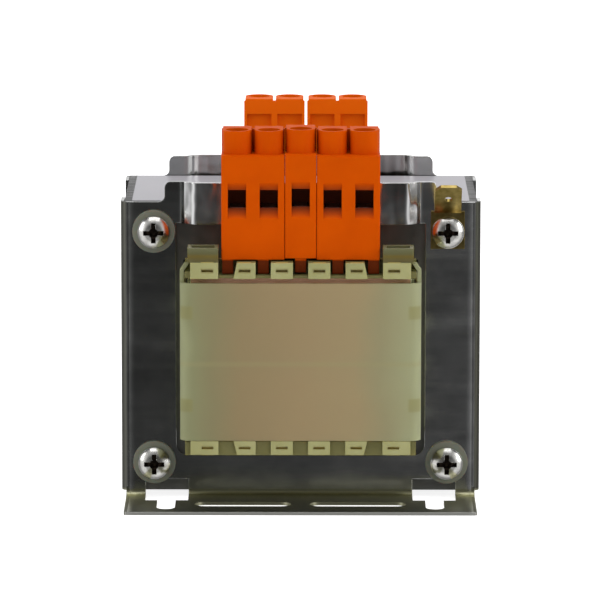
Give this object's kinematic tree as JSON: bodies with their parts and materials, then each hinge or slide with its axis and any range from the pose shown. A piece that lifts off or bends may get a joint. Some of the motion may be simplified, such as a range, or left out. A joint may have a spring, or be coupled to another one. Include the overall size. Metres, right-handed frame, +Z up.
{
  "type": "laminated chassis transformer",
  "caption": "Mains transformer on a bolted EI core with folded mounting feet, a two-chamber coil, screw terminals on top and an earth tab.",
  "frame": {"origin": "middle of the underside of the four-slot mounting feet", "axes": "+X to the right and -Y towards the viewer of the five-terminal side with the earth tab, +Z up out of the feet"},
  "size_m": [0.0858, 0.0848, 0.0907],
  "materials": {
    "lamination_steel": "satin",
    "bobbin_nylon": "satin",
    "copper_winding": "satin",
    "winding_tape": "satin",
    "cover_nylon": "satin",
    "zinc_plate": "satin",
    "screw_zinc": "polished",
    "washer_plastic": "satin",
    "tab_brass": "satin",
    "label_film": "matt",
    "terminal_orange": "satin",
    "contact_tin": "satin"
  },
  "bodies": {
    "root": {"e_laminations": "lamination_steel", "i_laminations": "lamination_steel", "bobbin": "bobbin_nylon", "primary_winding": "copper_winding", "primary_tape": "winding_tape", "secondary_winding": "copper_winding", "secondary_tape": "winding_tape", "front_coil_cover": "cover_nylon", "rear_coil_cover": "cover_nylon", "front_bracket": "zinc_plate", "rear_bracket": "zinc_plate", "clamp_screws": "screw_zinc", "clamp_nuts": "screw_zinc", "front_washers": "washer_plastic", "rear_washers": "washer_plastic", "earth_tab": "tab_brass", "rating_label": "label_film", "terminal_front_left": "terminal_orange", "terminal_front_middle": "terminal_orange", "terminal_front_right": "terminal_orange", "terminal_rear_left": "terminal_orange", "terminal_rear_right": "terminal_orange", "front_clamp_cages": "contact_tin", "rear_clamp_cages": "contact_tin", "front_contacts": "contact_tin", "rear_contacts": "contact_tin", "front_terminal_screws": "screw_zinc", "rear_terminal_screws": "screw_zinc"}
  },
  "joints": []
}
